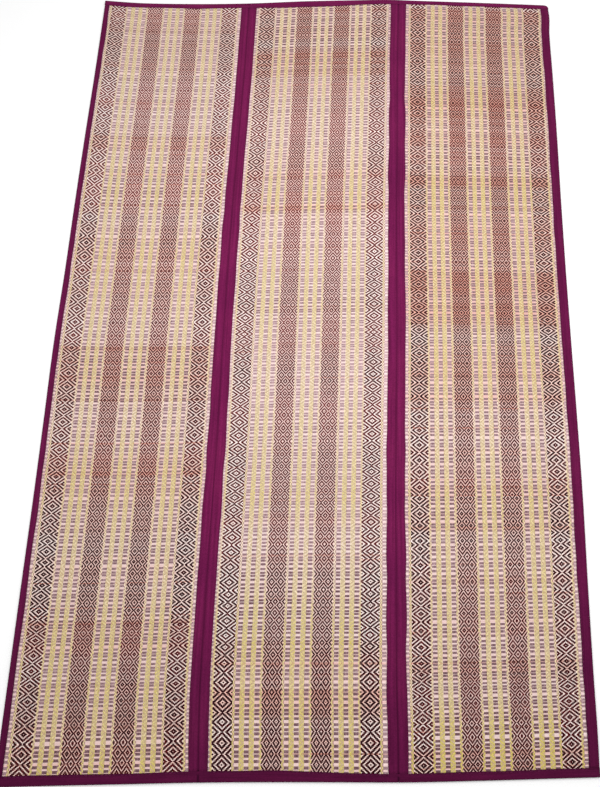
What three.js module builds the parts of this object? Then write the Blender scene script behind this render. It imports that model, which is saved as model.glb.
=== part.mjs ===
// A three-panel folding floor mat, lying open. Three woven reed panels lie side by side. Cotton binding is
// folded over the mat's four outer edges, and a cloth strip with a sewn fold line joins each panel to the next.
// Millimetres. +X runs across the panels, +Y along the cotton warp to the head end, +Z is up from the floor.
// The origin is on the floor under the middle of the mat.
import * as THREE from "three";

// Driving dimensions
const MAT_WIDTH = 1140;
const MAT_LENGTH = 1820;
const FOLD_LINE_X = MAT_WIDTH / 6; // the two fold lines lie a third of the width apart
const WEAVE_THICKNESS = 2.4;
const CLOTH_THICKNESS = 1;
const GAP = 0.3; // between a panel and the cloth round it, and between ends that butt
const LEFT_BINDING = 13.5;
const RIGHT_BINDING = 20.5;
const JOIN_HALF_WIDTH = 19.2;
const JOIN_WEB_HALF = 3; // the sewn middle of a joining strip, between two panels' edges
const FOLD_CREASE_HALF = 2.4;
const FOLD_CREASE_DEPTH = 1.8;
const RIM_SLOPE = 24; // the stretch over which a panel comes down from its binding to the floor
const FOLD_CLEARANCE = 1; // from a panel's edge to the inside of the binding's fold
const FOLD_ARC_STEPS = 4;

// Heights that follow from the thicknesses
const RIM_LIFT = CLOTH_THICKNESS + GAP;
const BOUND_HEIGHT = 2 * RIM_LIFT + WEAVE_THICKNESS;
const FOLD_RADIUS = BOUND_HEIGHT / 2;
const PANEL_INSET = CLOTH_THICKNESS + FOLD_CLEARANCE;

// How far the long edges and fold lines wander sideways from their ruled places, from foot to head.
const SIDE_DRIFT = [
  { along: -910, leftEdge: -1.0, leftFold: -1.5, rightFold: -9.5, rightEdge: -15.5 },
  { along: -825, leftEdge: -1.5, leftFold: -6.5, rightFold: -10.0, rightEdge: -13.5 },
  { along: -730, leftEdge: -1.5, leftFold: -10.0, rightFold: -12.0, rightEdge: -13.0 },
  { along: -560, leftEdge: -1.5, leftFold: -10.5, rightFold: -11.5, rightEdge: -10.5 },
  { along: -380, leftEdge: -1.0, leftFold: -9.5, rightFold: -12.0, rightEdge: -7.0 },
  { along: -205, leftEdge: -1.5, leftFold: -9.0, rightFold: -10.5, rightEdge: -6.0 },
  { along: -30, leftEdge: -2.5, leftFold: -10.5, rightFold: -8.0, rightEdge: -6.0 },
  { along: 150, leftEdge: 0.5, leftFold: -10.0, rightFold: -7.5, rightEdge: -5.5 },
  { along: 330, leftEdge: 2.0, leftFold: -8.5, rightFold: -7.0, rightEdge: -4.0 },
  { along: 510, leftEdge: 4.5, leftFold: -5.0, rightFold: -4.5, rightEdge: -1.5 },
  { along: 690, leftEdge: 8.0, leftFold: -1.5, rightFold: -3.0, rightEdge: -0.5 },
  { along: 820, leftEdge: 9.5, leftFold: -0.5, rightFold: -0.5, rightEdge: -0.5 },
  { along: 870, leftEdge: 10.0, leftFold: 0.0, rightFold: 0.5, rightEdge: 2.5 },
  { along: 910, leftEdge: 10.5, leftFold: 0.0, rightFold: 1.0, rightEdge: 0.0 },
];

// How far the two ends wander lengthwise, and how wide their bindings are, from left to right.
const END_DRIFT = [
  { across: -570, head: -1.5, foot: -11.0, headWidth: 14.5, footWidth: 18.5 },
  { across: -470, head: -8.5, foot: -6.5, headWidth: 14.0, footWidth: 18.0 },
  { across: -330, head: -9.5, foot: -1.0, headWidth: 15.0, footWidth: 18.5 },
  { across: -190, head: -6.0, foot: 4.5, headWidth: 15.5, footWidth: 19.5 },
  { across: -50, head: 2.5, foot: 8.0, headWidth: 19.0, footWidth: 20.5 },
  { across: 90, head: 8.0, foot: 10.5, headWidth: 16.0, footWidth: 16.0 },
  { across: 160, head: 10.5, foot: 11.5, headWidth: 14.0, footWidth: 14.5 },
  { across: 225, head: 8.0, foot: 13.0, headWidth: 12.0, footWidth: 14.5 },
  { across: 360, head: 4.0, foot: 18.5, headWidth: 12.5, footWidth: 15.5 },
  { across: 480, head: 0.0, foot: 24.0, headWidth: 13.5, footWidth: 16.5 },
  { across: 570, head: -3.5, foot: 28.0, headWidth: 13.0, footWidth: 17.0 },
];

// A smooth curve through one column of a table: a cubic in each span, whose slope at a row is the slope
// between that row's two neighbours.
function curveThrough(table, placeName, column) {
  const last = table.length - 1;
  const slope = (row) => {
    const before = table[Math.max(row - 1, 0)];
    const after = table[Math.min(row + 1, last)];
    return (after[column] - before[column]) / (after[placeName] - before[placeName]);
  };
  return (place) => {
    const found = table.findIndex((row) => row[placeName] > place);
    const end = found < 0 ? last : Math.max(found, 1);
    const from = table[end - 1];
    const to = table[end];
    const span = to[placeName] - from[placeName];
    const t = THREE.MathUtils.clamp((place - from[placeName]) / span, 0, 1);
    const rise = t * t * (3 - 2 * t);
    const leave = t * (1 - t) * (1 - t) * span * slope(end - 1);
    const arrive = t * t * (t - 1) * span * slope(end);
    return from[column] + (to[column] - from[column]) * rise + leave + arrive;
  };
}

const sideLines = [
  { ruled: -MAT_WIDTH / 2, drift: curveThrough(SIDE_DRIFT, "along", "leftEdge") },
  { ruled: -FOLD_LINE_X, drift: curveThrough(SIDE_DRIFT, "along", "leftFold") },
  { ruled: FOLD_LINE_X, drift: curveThrough(SIDE_DRIFT, "along", "rightFold") },
  { ruled: MAT_WIDTH / 2, drift: curveThrough(SIDE_DRIFT, "along", "rightEdge") },
];
const WIDEST_END = Math.max(...END_DRIFT.flatMap((row) => [row.headWidth, row.footWidth]));
const headDrift = curveThrough(END_DRIFT, "across", "head");
const footDrift = curveThrough(END_DRIFT, "across", "foot");
const headWidth = curveThrough(END_DRIFT, "across", "headWidth");
const footWidth = curveThrough(END_DRIFT, "across", "footWidth");

// Where a point of the ruled rectangle lies on the real, uneven mat. Sideways drift runs straight from one
// long line to the next, and lengthwise drift runs straight from the foot end to the head end.
function unevenPlace(x, y) {
  const left = x < -FOLD_LINE_X ? 0 : x < FOLD_LINE_X ? 1 : 2;
  const from = sideLines[left];
  const to = sideLines[left + 1];
  const share = (x - from.ruled) / (to.ruled - from.ruled);
  const sideways = THREE.MathUtils.lerp(from.drift(y), to.drift(y), share);
  const lengthwise = THREE.MathUtils.lerp(footDrift(x), headDrift(x), y / MAT_LENGTH + 0.5);
  return [x + sideways, y + lengthwise];
}

// A table's own places and the ones halfway between them, as far as they lie inside two limits. Every piece
// has its stations here, so that the pieces follow the unevenness alike.
function stationsBetween(table, placeName, low, high) {
  const places = table.map((row) => row[placeName]);
  const halfway = places.slice(1).map((place, i) => (place + places[i]) / 2);
  return [...places, ...halfway].filter((place) => place > low && place < high).sort((a, b) => a - b);
}

// Carries a flat section along a list of stations. The section is drawn with its first axis pointing to the
// left hand of the walk and its second axis up, and place gives the ruled point for each of its points.
function sweep(section, stations, place) {
  const steps = stations.length - 1;
  const geometry = new THREE.ExtrudeGeometry(section, {
    depth: steps,
    steps,
    curveSegments: FOLD_ARC_STEPS,
    bevelEnabled: false,
  });
  const points = geometry.getAttribute("position");
  for (let i = 0; i < points.count; i += 1) {
    const station = Math.round(points.getZ(i));
    const ruled = place(points.getX(i), stations[station], station, steps);
    const [x, y] = unevenPlace(ruled.x, ruled.y);
    points.setXYZ(i, x, y, points.getY(i));
  }
  geometry.computeVertexNormals();
  return geometry;
}

// Binding cloth folded over an edge: round at the fold, open inwards to take the panel. The first axis
// runs inwards from the outer edge.
function bindingSection(width) {
  const section = new THREE.Shape();
  section.moveTo(FOLD_RADIUS, 0);
  section.lineTo(width, 0);
  section.lineTo(width, CLOTH_THICKNESS);
  section.lineTo(CLOTH_THICKNESS, CLOTH_THICKNESS);
  section.lineTo(CLOTH_THICKNESS, BOUND_HEIGHT - CLOTH_THICKNESS);
  section.lineTo(width, BOUND_HEIGHT - CLOTH_THICKNESS);
  section.lineTo(width, BOUND_HEIGHT);
  section.lineTo(FOLD_RADIUS, BOUND_HEIGHT);
  section.absarc(FOLD_RADIUS, FOLD_RADIUS, FOLD_RADIUS, Math.PI / 2, (3 * Math.PI) / 2, false);
  return section;
}

// A joining strip: one cloth above and one below, sewn together down the middle, with a panel's edge
// between them on each side and a crease along the fold line on top.
function joinSection() {
  const outline = [
    [-JOIN_HALF_WIDTH, 0],
    [JOIN_HALF_WIDTH, 0],
    [JOIN_HALF_WIDTH, CLOTH_THICKNESS],
    [JOIN_WEB_HALF, CLOTH_THICKNESS],
    [JOIN_WEB_HALF, BOUND_HEIGHT - CLOTH_THICKNESS],
    [JOIN_HALF_WIDTH, BOUND_HEIGHT - CLOTH_THICKNESS],
    [JOIN_HALF_WIDTH, BOUND_HEIGHT],
    [FOLD_CREASE_HALF, BOUND_HEIGHT],
    [0, BOUND_HEIGHT - FOLD_CREASE_DEPTH],
    [-FOLD_CREASE_HALF, BOUND_HEIGHT],
    [-JOIN_HALF_WIDTH, BOUND_HEIGHT],
    [-JOIN_HALF_WIDTH, BOUND_HEIGHT - CLOTH_THICKNESS],
    [-JOIN_WEB_HALF, BOUND_HEIGHT - CLOTH_THICKNESS],
    [-JOIN_WEB_HALF, CLOTH_THICKNESS],
    [-JOIN_HALF_WIDTH, CLOTH_THICKNESS],
  ];
  return new THREE.Shape(outline.map(([across, up]) => new THREE.Vector2(across, up)));
}

// The side bindings and joining strips run between the two end bindings. Their outermost stations stand for
// the end bindings' inner edges, wherever those lie at x.
const CLEAR_OF_ENDS = MAT_LENGTH / 2 - WIDEST_END - RIM_SLOPE / 2;
const lengthStations = [
  -MAT_LENGTH / 2,
  ...stationsBetween(SIDE_DRIFT, "along", -CLEAR_OF_ENDS, CLEAR_OF_ENDS),
  MAT_LENGTH / 2,
];
const footInner = (x) => -MAT_LENGTH / 2 + footWidth(x) + GAP;
const headInner = (x) => MAT_LENGTH / 2 - headWidth(x) - GAP;
const betweenEnds = (x, along) => THREE.MathUtils.clamp(along, footInner(x), headInner(x));

// The right binding is walked from foot to head, and the left one and the strips from head to foot, so that
// a section's first axis points to the left hand of its walk.
const headToFoot = [...lengthStations].reverse();

function leftBinding() {
  return sweep(bindingSection(LEFT_BINDING), headToFoot, (inwards, along) => {
    const x = -MAT_WIDTH / 2 + inwards;
    return { x, y: betweenEnds(x, along) };
  });
}

function rightBinding() {
  return sweep(bindingSection(RIGHT_BINDING), lengthStations, (inwards, along) => {
    const x = MAT_WIDTH / 2 - inwards;
    return { x, y: betweenEnds(x, along) };
  });
}

function joiningStrip(foldX) {
  return sweep(joinSection(), headToFoot, (across, along) => {
    const x = foldX + across;
    return { x, y: betweenEnds(x, along) };
  });
}

// The end bindings run the whole width. At both ends the fold's hollow closes to a sewn corner: its depth
// shrinks to the clearance at the first and the last station.
const CORNER_WALL = CLOTH_THICKNESS;
const CORNER_X = MAT_WIDTH / 2 - CORNER_WALL;
const leftToRight = [
  -MAT_WIDTH / 2,
  -CORNER_X,
  ...stationsBetween(END_DRIFT, "across", -CORNER_X, CORNER_X),
  CORNER_X,
  MAT_WIDTH / 2,
];
const rightToLeft = [...leftToRight].reverse();
const RULED_END_WIDTH = 16;

function endBinding(stations, outerY, inwardSign, widthAt) {
  return sweep(bindingSection(RULED_END_WIDTH), stations, (inwards, x, index, steps) => {
    const stretch = widthAt(x) / RULED_END_WIDTH;
    const atCorner = index === 0 || index === steps;
    const inHollow = inwards === CLOTH_THICKNESS;
    const reach = atCorner && inHollow ? RULED_END_WIDTH - FOLD_CLEARANCE : inwards;
    const depth = reach <= FOLD_RADIUS ? reach : reach * stretch;
    return { x, y: outerY + inwardSign * depth };
  });
}

// A woven panel: a flat slab whose rim is held at the bindings' height and whose field lies on the floor.
// Each list of stations starts and ends with the rim, so its second and second-last entries are still held.
const HELD_PAST_CLOTH = 2.5;

function rimmedStations(edges, held, table, placeName) {
  const low = held[0] + RIM_SLOPE;
  const high = held[1] - RIM_SLOPE;
  const field = [low, ...stationsBetween(table, placeName, low, high), high];
  return [edges[0], held[0], ...field, held[1], edges[1]];
}

function panel(left, right) {
  const heldSides = [left.cloth + HELD_PAST_CLOTH, right.cloth - HELD_PAST_CLOTH];
  const columns = rimmedStations([left.edge, right.edge], heldSides, END_DRIFT, "across");
  const endEdge = MAT_LENGTH / 2 - PANEL_INSET;
  const endHeld = MAT_LENGTH / 2 - WIDEST_END - HELD_PAST_CLOTH;
  const rows = rimmedStations([-endEdge, endEdge], [-endHeld, endHeld], SIDE_DRIFT, "along");
  const across = columns.length - 1;
  const along = rows.length - 1;
  const held = (index, steps) => index < 2 || index > steps - 2;
  const geometry = new THREE.BoxGeometry(1, 1, WEAVE_THICKNESS, across, along, 1);
  const points = geometry.getAttribute("position");
  for (let i = 0; i < points.count; i += 1) {
    const column = Math.round((points.getX(i) + 0.5) * across);
    const row = Math.round((points.getY(i) + 0.5) * along);
    const [x, y] = unevenPlace(columns[column], rows[row]);
    const lift = held(column, across) || held(row, along) ? RIM_LIFT : 0;
    points.setXYZ(i, x, y, points.getZ(i) + WEAVE_THICKNESS / 2 + lift);
  }
  geometry.computeVertexNormals();
  return geometry;
}

// Where a panel's edge and the cloth over it end, beside an outer binding or a fold line.
const besideLeft = { edge: -MAT_WIDTH / 2 + PANEL_INSET, cloth: -MAT_WIDTH / 2 + LEFT_BINDING };
const besideRight = { edge: MAT_WIDTH / 2 - PANEL_INSET, cloth: MAT_WIDTH / 2 - RIGHT_BINDING };
const besideFold = (foldX, side) => ({
  edge: foldX + side * (JOIN_WEB_HALF + FOLD_CLEARANCE),
  cloth: foldX + side * JOIN_HALF_WIDTH,
});

const reedWeave = { color: 0xd9bfae, roughness: 0.7, metalness: 0 };
const maroonCotton = { color: 0x681a4a, roughness: 0.9, metalness: 0 };

const mat = new THREE.Group();
function addPiece(name, geometry, finish) {
  const mesh = new THREE.Mesh(geometry, new THREE.MeshStandardMaterial(finish));
  mesh.name = name;
  mat.add(mesh);
}

addPiece("panel_left", panel(besideLeft, besideFold(-FOLD_LINE_X, -1)), reedWeave);
addPiece("panel_middle", panel(besideFold(-FOLD_LINE_X, 1), besideFold(FOLD_LINE_X, -1)), reedWeave);
addPiece("panel_right", panel(besideFold(FOLD_LINE_X, 1), besideRight), reedWeave);
addPiece("join_left", joiningStrip(-FOLD_LINE_X), maroonCotton);
addPiece("join_right", joiningStrip(FOLD_LINE_X), maroonCotton);
addPiece("binding_left", leftBinding(), maroonCotton);
addPiece("binding_right", rightBinding(), maroonCotton);
addPiece("binding_head", endBinding(rightToLeft, MAT_LENGTH / 2, -1, headWidth), maroonCotton);
addPiece("binding_foot", endBinding(leftToRight, -MAT_LENGTH / 2, 1, footWidth), maroonCotton);

export default mat;
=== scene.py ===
# %% [markdown]
# # A folding reed mat, woven reed by reed
# The mat is three narrow loom-woven panels, sewn side by side with maroon cotton. The solids that are loaded
# here give its true size and place. This lesson lays reeds, yarns, cloth and sewing over them.

# %% Load the frame
from types import SimpleNamespace

import bpy
import numpy as np
from mathutils import Matrix


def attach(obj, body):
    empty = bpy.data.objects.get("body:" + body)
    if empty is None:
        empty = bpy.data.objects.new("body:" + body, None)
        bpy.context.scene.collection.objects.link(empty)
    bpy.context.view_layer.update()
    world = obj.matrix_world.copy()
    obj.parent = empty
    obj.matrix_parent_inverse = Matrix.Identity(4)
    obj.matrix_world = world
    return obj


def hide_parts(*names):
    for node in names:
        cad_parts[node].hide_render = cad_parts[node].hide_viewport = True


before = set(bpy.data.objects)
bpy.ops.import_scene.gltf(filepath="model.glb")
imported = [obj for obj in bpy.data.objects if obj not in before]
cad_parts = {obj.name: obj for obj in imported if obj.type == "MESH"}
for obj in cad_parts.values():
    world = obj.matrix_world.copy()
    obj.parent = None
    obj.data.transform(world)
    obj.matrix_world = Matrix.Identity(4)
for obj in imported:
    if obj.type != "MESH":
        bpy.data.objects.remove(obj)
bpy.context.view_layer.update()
print("solids:", ", ".join(sorted(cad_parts)))

# %% [markdown]
# ## The camera
# The picture looks steeply down on the mat from above its foot. A camera could be aimed by a tracking
# constraint, but that keeps it upright, and this one is tipped a little to one side. So its direction comes
# from two turns and a small roll, and its lens from the way the long sides draw together. The shift says
# that the picture was trimmed a little more on its right.

# %% Camera
PICTURE_HEIGHT = 787
FOCAL_PIXELS = 800
SENSOR_WIDTH = 36.0
SIDE_SHIFT = -0.045

# The place is in metres, the turns are in degrees.
CAMERA_PLACE = (0.0706, -0.6732, 1.638)
YAW, DEPRESSION, ROLL = np.radians([-2.27, 71.96, -1.27])


def camera_matrix(place, yaw, depression, roll):
    """Columns right, up and backwards. Forward is turned by yaw from +Y and tipped down by the depression."""
    ahead, down = np.cos(depression), np.sin(depression)
    forward = np.array([np.sin(yaw) * ahead, np.cos(yaw) * ahead, -down])
    level = np.array([np.cos(yaw), -np.sin(yaw), 0.0])
    upright = np.cross(level, forward)
    right = np.cos(roll) * level + np.sin(roll) * upright
    up = np.cos(roll) * upright - np.sin(roll) * level
    matrix = np.eye(4)
    matrix[:3] = np.column_stack([right, up, -forward, place])
    return Matrix(matrix.tolist())


lens = bpy.data.cameras.new("view")
lens.sensor_width = SENSOR_WIDTH
lens.lens = SENSOR_WIDTH * FOCAL_PIXELS / PICTURE_HEIGHT
lens.shift_x = SIDE_SHIFT
camera = bpy.data.objects.new("view", lens)
camera.matrix_world = camera_matrix(CAMERA_PLACE, YAW, DEPRESSION, ROLL)
bpy.context.scene.collection.objects.link(camera)
bpy.context.scene.camera = camera
print(f"lens {lens.lens:.1f} mm")

# %% [markdown]
# ## Hand-made unevenness
# Nothing on the mat is ruled. Its long edges, fold lines and ends wander by up to three centimetres. Each
# finished piece could be bent with a lattice, but then neighbours would only roughly agree. Instead we draw
# every piece on a ruled rectangle, which is easy, and one shared function moves each point to its uneven
# place. The few measured wanderings are joined by a smooth curve. Lengths from here on are millimetres,
# unless a comment says metres.

# %% From the ruled rectangle to the real mat
WIDTH, LENGTH = 1140.0, 1820.0
HALF_WIDTH, HALF_LENGTH = WIDTH / 2, LENGTH / 2
FOLD_X = WIDTH / 6
WANDER_REACH = 1000.0

# Along the mat from foot to head: the sideways drift of left edge, left fold, right fold and right edge.
SIDE_DRIFT = np.array([
    [-910, -1.0, -1.5, -9.5, -15.5],
    [-825, -1.5, -6.5, -10.0, -13.5],
    [-730, -1.5, -10.0, -12.0, -13.0],
    [-560, -1.5, -10.5, -11.5, -10.5],
    [-380, -1.0, -9.5, -12.0, -7.0],
    [-205, -1.5, -9.0, -10.5, -6.0],
    [-30, -2.5, -10.5, -8.0, -6.0],
    [150, 0.5, -10.0, -7.5, -5.5],
    [330, 2.0, -8.5, -7.0, -4.0],
    [510, 4.5, -5.0, -4.5, -1.5],
    [690, 8.0, -1.5, -3.0, -0.5],
    [820, 9.5, -0.5, -0.5, -0.5],
    [870, 10.0, 0.0, 0.5, 2.5],
    [910, 10.5, 0.0, 1.0, 0.0],
])
# Across the mat from left to right: the lengthwise drift of head and foot, and their bindings' widths.
END_DRIFT = np.array([
    [-570, -1.5, -11.0, 14.5, 18.5],
    [-470, -8.5, -6.5, 14.0, 18.0],
    [-330, -9.5, -1.0, 15.0, 18.5],
    [-190, -6.0, 4.5, 15.5, 19.5],
    [-50, 2.5, 8.0, 19.0, 20.5],
    [90, 8.0, 10.5, 16.0, 16.0],
    [160, 10.5, 11.5, 14.0, 14.5],
    [225, 8.0, 13.0, 12.0, 14.5],
    [360, 4.0, 18.5, 12.5, 15.5],
    [480, 0.0, 24.0, 13.5, 16.5],
    [570, -3.5, 28.0, 13.0, 17.0],
])


def curve_through(places, values):
    """A cubic in each span. Its slope at a point is the slope between that point's two neighbours."""
    row = np.arange(len(places))
    before, after = np.maximum(row - 1, 0), np.minimum(row + 1, len(places) - 1)
    slope = (values[after] - values[before]) / (places[after] - places[before])

    def curve(at):
        end = np.clip(np.searchsorted(places, at, side="right"), 1, len(places) - 1)
        start = end - 1
        span = places[end] - places[start]
        t = np.clip((at - places[start]) / span, 0, 1)
        rise = (values[end] - values[start]) * t * t * (3 - 2 * t)
        return values[start] + rise + span * t * (1 - t) * ((1 - t) * slope[start] - t * slope[end])

    return curve


side_curves = [curve_through(SIDE_DRIFT[:, 0], SIDE_DRIFT[:, k]) for k in (1, 2, 3, 4)]
head_drift, foot_drift, head_width, foot_width = [
    curve_through(END_DRIFT[:, 0], END_DRIFT[:, k]) for k in (1, 2, 3, 4)
]


def uneven(x, y):
    """Sideways drift runs straight from one long line to the next, lengthwise drift from foot to head."""
    lines = np.array([-HALF_WIDTH, -FOLD_X, FOLD_X, HALF_WIDTH])
    left = np.clip(np.searchsorted(lines, x, side="right") - 1, 0, 2)
    share = (x - lines[left]) / (lines[left + 1] - lines[left])
    drift = np.stack([curve(y) for curve in side_curves])
    from_line = np.take_along_axis(drift, left[None], 0)[0]
    to_line = np.take_along_axis(drift, left[None] + 1, 0)[0]
    along = y / LENGTH + 0.5
    sideways = from_line + (to_line - from_line) * share
    return x + sideways, y + foot_drift(x) * (1 - along) + head_drift(x) * along


def wander(rng, spacing, size):
    """A seeded smooth wandering: random heights every spacing millimetres, joined by the same curve."""
    knots = np.arange(-WANDER_REACH, WANDER_REACH + spacing, spacing)
    return curve_through(knots, rng.normal(0.0, size, len(knots)))


corner = np.array(uneven(np.array([HALF_WIDTH]), np.array([-HALF_LENGTH])))[:, 0]
print("foot right corner lies at", np.round(corner, 1))

# %% [markdown]
# ## From arrays to a mesh
# numpy works out whole arrays of points and faces. Blender takes them in one go with foreach_set, which is
# much quicker than adding faces one by one. Faces may have any number of corners, set by set.

# %% Mesh helper
MILLIMETRE = 0.001


def make_piece(name, points, face_sets, material, corner_uv=None, tone=None):
    """A smooth-shaded object at the origin from points in millimetres and arrays of corner numbers."""
    corners = np.concatenate([faces.ravel() for faces in face_sets])
    sizes = np.concatenate([np.full(len(faces), faces.shape[1]) for faces in face_sets])
    mesh = bpy.data.meshes.new(name)
    mesh.vertices.add(len(points))
    mesh.vertices.foreach_set("co", (points * MILLIMETRE).astype(np.float32).ravel())
    mesh.loops.add(len(corners))
    mesh.loops.foreach_set("vertex_index", corners.astype(np.int32))
    mesh.polygons.add(len(sizes))
    mesh.polygons.foreach_set("loop_start", (np.cumsum(sizes) - sizes).astype(np.int32))
    mesh.update(calc_edges=True)
    mesh.shade_smooth()
    if corner_uv is not None:
        layer = mesh.uv_layers.new(name="OFBake")
        layer.uv.foreach_set("vector", corner_uv.astype(np.float32).ravel())
    if tone is not None:
        layer = mesh.attributes.new("tone", "FLOAT", "POINT")
        layer.data.foreach_set("value", tone.astype(np.float32).ravel())
    mesh.materials.append(material)
    piece = bpy.data.objects.new(name, mesh)
    bpy.context.scene.collection.objects.link(piece)
    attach(piece, "root")
    print(f"{name}: {int((sizes - 2).sum())} triangles")
    return piece


# %% [markdown]
# ## The stripes of a panel
# All three panels were set up alike on the loom. Counted from a side edge, the warp goes pale lilac, a thin
# yellow edging, a broad band with one row of diamonds, and then groups of lilac and yellow between two
# finer bands. The second half mirrors the first. The stripes could be painted on as a picture, but that
# would blur close up. So a list of names and widths sets up the warp yarn by yarn, as on the loom.

# %% Stripe layout
HALF_LAYOUT = [
    ("selvedge", 9.0), ("edging", 4.8), ("coarse", 37.0), ("edging", 4.5),
    ("lilac", 9.2), ("yellow", 9.9), ("lilac", 9.2), ("yellow", 9.9), ("lilac", 9.2),
    ("edging", 4.9), ("fine", 38.0), ("edging", 4.9), ("lilac", 9.2), ("yellow", 9.9),
]
LAYOUT = [*HALF_LAYOUT, ("lilac", 9.2), *reversed(HALF_LAYOUT)]
STRIPE_KINDS = np.array([kind for kind, _ in LAYOUT])
STRIPE_WIDTHS = np.array([width for _, width in LAYOUT])
STRIPE_ENDS = np.cumsum(STRIPE_WIDTHS) - STRIPE_WIDTHS.sum() / 2
STRIPE_STARTS = STRIPE_ENDS - STRIPE_WIDTHS
PATTERN_HALF = STRIPE_WIDTHS.sum() / 2
YARNS_IN = {"coarse": 15, "fine": 25, "yellow": 4, "edging": 2, "lilac": 3, "selvedge": 3}
FINE_POINT = 6

# Against other yarns of their colour: how much paler these are, and how many times as wide.
PALER_YARN = {"selvedge": 0.4, "edging": 0.15}
FULLER_YARN = {"edging": 1.25}


def shafts_of(kind):
    """The loom shaft of each yarn. Bands rise to a point and fall again, yellow runs straight on."""
    number = np.arange(YARNS_IN[kind])
    if kind == "coarse":
        return np.abs(number - number[-1] // 2)
    if kind == "fine":
        return np.abs(number % (2 * FINE_POINT) - FINE_POINT)
    if kind in ("lilac", "selvedge"):
        return np.zeros_like(number)
    return number * (2 if kind == "edging" else 1)


def yarns_of(*kinds):
    """Place across the panel, width, shaft and paleness of every yarn of these kinds, as rows of an array."""
    rows = []
    for kind, start, width in zip(STRIPE_KINDS, STRIPE_STARTS, STRIPE_WIDTHS):
        if kind in kinds:
            shafts = shafts_of(kind)
            pitch = width / len(shafts)
            places = start + (np.arange(len(shafts)) + 0.5) * pitch
            widths = np.full_like(places, pitch * FULLER_YARN.get(kind, 1.0))
            paler = np.full_like(places, PALER_YARN.get(kind, 0.0))
            rows.append(np.column_stack([places, widths, shafts, paler]))
    return np.concatenate(rows)


print(f"{len(LAYOUT)} stripes, {2 * PATTERN_HALF:.0f} mm across")

# %% [markdown]
# ## Picks and treadling
# The weaver lays one reed after another and treads the pedals in order up and down, so the diamonds grow
# and shrink. Now and then a run turns back halfway or the turning pedal is trodden twice, and the beat is
# firmer in one stretch than in the next. That is why no two diamonds are quite alike. A repeated tile would
# lose this, so the treading itself is followed, with seeded random numbers.

# %% The three panels
FULL_RUN, SHORT_RUN = 8, 4
PICKS_IN_DIAMOND = 2 * FULL_RUN
SHORT_CHANCE, TWICE_CHANCE = 0.07, 0.15
WEAVE_END = HALF_LENGTH - 6.0
FINE_STEPS = 4000
BEAT_SPACING, BEAT_CHANGE, PICK_SLIP = 40.0, 0.05, 0.05
SEEN_WIDTH = 342.0

# The length of a full diamond at places along each panel, from foot to head.
DIAMOND_LENGTH = {
    "left": [
        (-910, 37), (-840, 34), (-780, 28), (-600, 28), (-350, 29),
        (-100, 31), (150, 34), (450, 32), (700, 30), (910, 30),
    ],
    "middle": [
        (-910, 37), (-780, 36), (-640, 29), (-400, 27), (-200, 29),
        (0, 26), (200, 29), (450, 31), (700, 29), (910, 29),
    ],
    "right": [
        (-910, 30), (-700, 29), (-500, 32), (-300, 32), (-100, 29),
        (150, 28), (400, 30), (650, 31), (910, 31),
    ],
}


def treadling(rng, count):
    """Pedals up and down again. Most runs are full, a few are short, and some turns are trodden twice."""
    pedals = []
    while len(pedals) < count:
        run_up, run_down = np.where(rng.random(2) < SHORT_CHANCE, SHORT_RUN, FULL_RUN)
        up = list(range(FULL_RUN - run_up, FULL_RUN))
        twice = [FULL_RUN] * int(rng.random() < TWICE_CHANCE)
        down = list(range(FULL_RUN, FULL_RUN - run_down, -1))
        pedals += up + twice + down
    return np.array(pedals[:count])


def set_up_panel(side, node, edges, cloth, slant, seed):
    """A panel's limits in ruled millimetres, its picks from foot to head and their pedals.

    The layout's widths are those of a panel that shows SEEN_WIDTH between its cloths; others are stretched.
    Slant holds the sideways shift of the pattern's left and right edge, each at the foot and at the head.
    """
    rng = np.random.default_rng(seed)
    chart = np.array(DIAMOND_LENGTH[side], float)
    y = np.linspace(-WEAVE_END, WEAVE_END, FINE_STEPS)
    beat = 1 + wander(rng, BEAT_SPACING, BEAT_CHANGE)(y)
    pitch = curve_through(chart[:, 0], chart[:, 1])(y) / PICKS_IN_DIAMOND * beat
    laid = np.cumsum(1 / pitch) * (y[1] - y[0])
    picks = np.interp(np.arange(1, int(laid[-1])), laid, y)
    picks += rng.normal(0, PICK_SLIP, len(picks))
    halfway = (picks[1:] + picks[:-1]) / 2
    first, last = 2 * picks[0] - halfway[0], 2 * picks[-1] - halfway[-1]
    return SimpleNamespace(
        side=side, node=node, edges=edges, cloth=cloth, rng=rng, picks=picks,
        bounds=np.concatenate([[first], halfway, [last]]),
        pedals=treadling(rng, len(picks) + PICKS_IN_DIAMOND)[seed % PICKS_IN_DIAMOND:][:len(picks)],
        middle=(cloth[0] + cloth[1]) / 2,
        stretch=(cloth[1] - cloth[0]) / SEEN_WIDTH,
        slant=np.array(slant),
    )


PANELS = [
    set_up_panel("left", "panel_left", (-568.0, -194.0), (-556.5, -209.2), [(1.0, -5.0), (0.5, -2.0)], 11),
    set_up_panel("middle", "panel_middle", (-186.0, 186.0), (-170.8, 170.8), [(-4.0, 0.0), (-4.0, 0.0)], 22),
    set_up_panel("right", "panel_right", (194.0, 568.0), (209.2, 549.5), [(0.0, 1.5), (-1.5, 4.0)], 37),
]
for panel in PANELS:
    print(f"{panel.side} panel: {len(panel.picks)} reeds")

# %% [markdown]
# ## Laying a panel down
# A panel lies on the floor, but its rim is sewn between two layers of cloth, so it rises a little beside
# them. A cloth simulation could find this shape. A smooth step is quicker and comes out the same each time.
# Every point of the weave is lifted by its distance from the cloth, then moved to its uneven place. Because
# reeds and yarns share these two steps, they stay woven together.

# %% Place a panel's points
RIM_LIFT = 1.3
RIM_SLOPE = 24.0
HELD_PAST_CLOTH = 2.5
REED_REACH = 193.0
WIDEST_END_CLOTH = 20.5
END_HELD = HALF_LENGTH - WIDEST_END_CLOTH - HELD_PAST_CLOTH


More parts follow.
